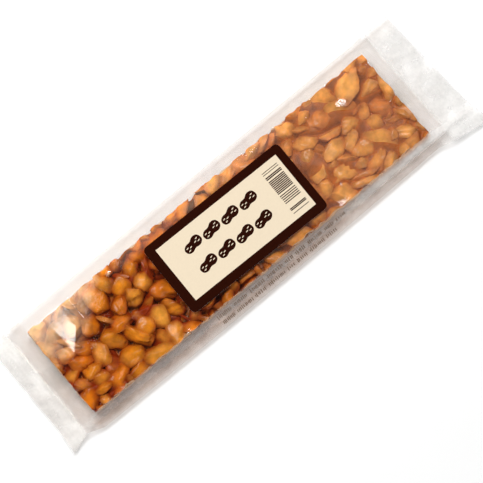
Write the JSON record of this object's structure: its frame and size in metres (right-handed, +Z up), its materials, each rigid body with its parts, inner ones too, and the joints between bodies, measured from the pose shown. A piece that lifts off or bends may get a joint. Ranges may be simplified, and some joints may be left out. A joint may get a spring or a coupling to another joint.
{
  "type": "wrapped peanut brittle bar",
  "caption": "Flat bar of peanut brittle sealed in a clear flow-wrap bag with ribbed end seals and a paper label on top.",
  "frame": {"origin": "under the middle of the pack, on the surface that it rests on", "axes": "+X along the bar towards the longer seal, +Y across the bar towards the narrow film margin, +Z up out of the labelled face"},
  "size_m": [0.2336, 0.0628, 0.0117],
  "materials": {
    "brittle": "glossy caramel over roasted nuts, seen through the film",
    "film": "clear glossy polypropylene film, whitened where it is sealed",
    "label_paper": "smooth printed paper, cream panel in a dark brown border"
  },
  "bodies": {
    "root": {"wrapped_bar": "brittle", "label": "label_paper"}
  },
  "joints": []
}
